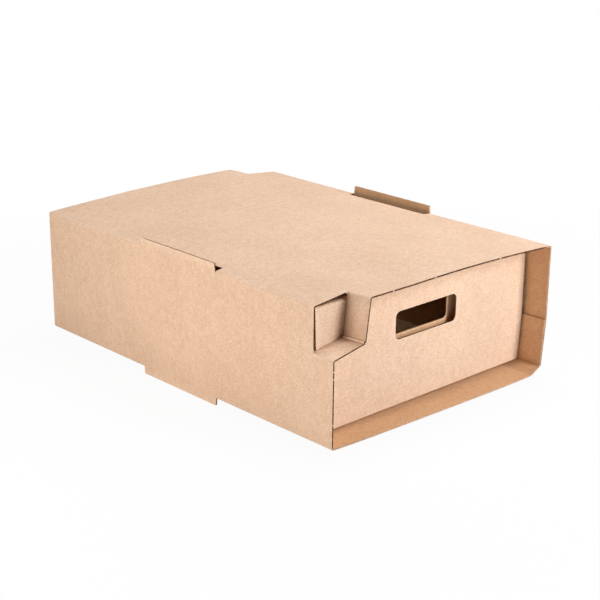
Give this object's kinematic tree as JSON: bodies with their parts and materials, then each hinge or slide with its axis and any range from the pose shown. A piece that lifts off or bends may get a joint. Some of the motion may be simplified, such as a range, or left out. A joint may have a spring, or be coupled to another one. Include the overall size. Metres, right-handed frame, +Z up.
{
  "type": "cardboard tray box with sleeve",
  "caption": "Flat cardboard tray with rolled hollow ends and hand holes, held in a glued open-ended sleeve by pushed-in corner locks.",
  "frame": {"origin": "on the ground, under the middle of the sleeve", "axes": "+X across the openings to the glued right wall, +Y along the sleeve from the front opening to the back one, +Z up"},
  "size_m": [0.3, 0.4348, 0.145],
  "materials": {
    "sleeve": "matt kraft paper face",
    "tray": "matt kraft paper face"
  },
  "bodies": {
    "root": {"sleeve": "sleeve", "tray": "tray"}
  },
  "joints": []
}
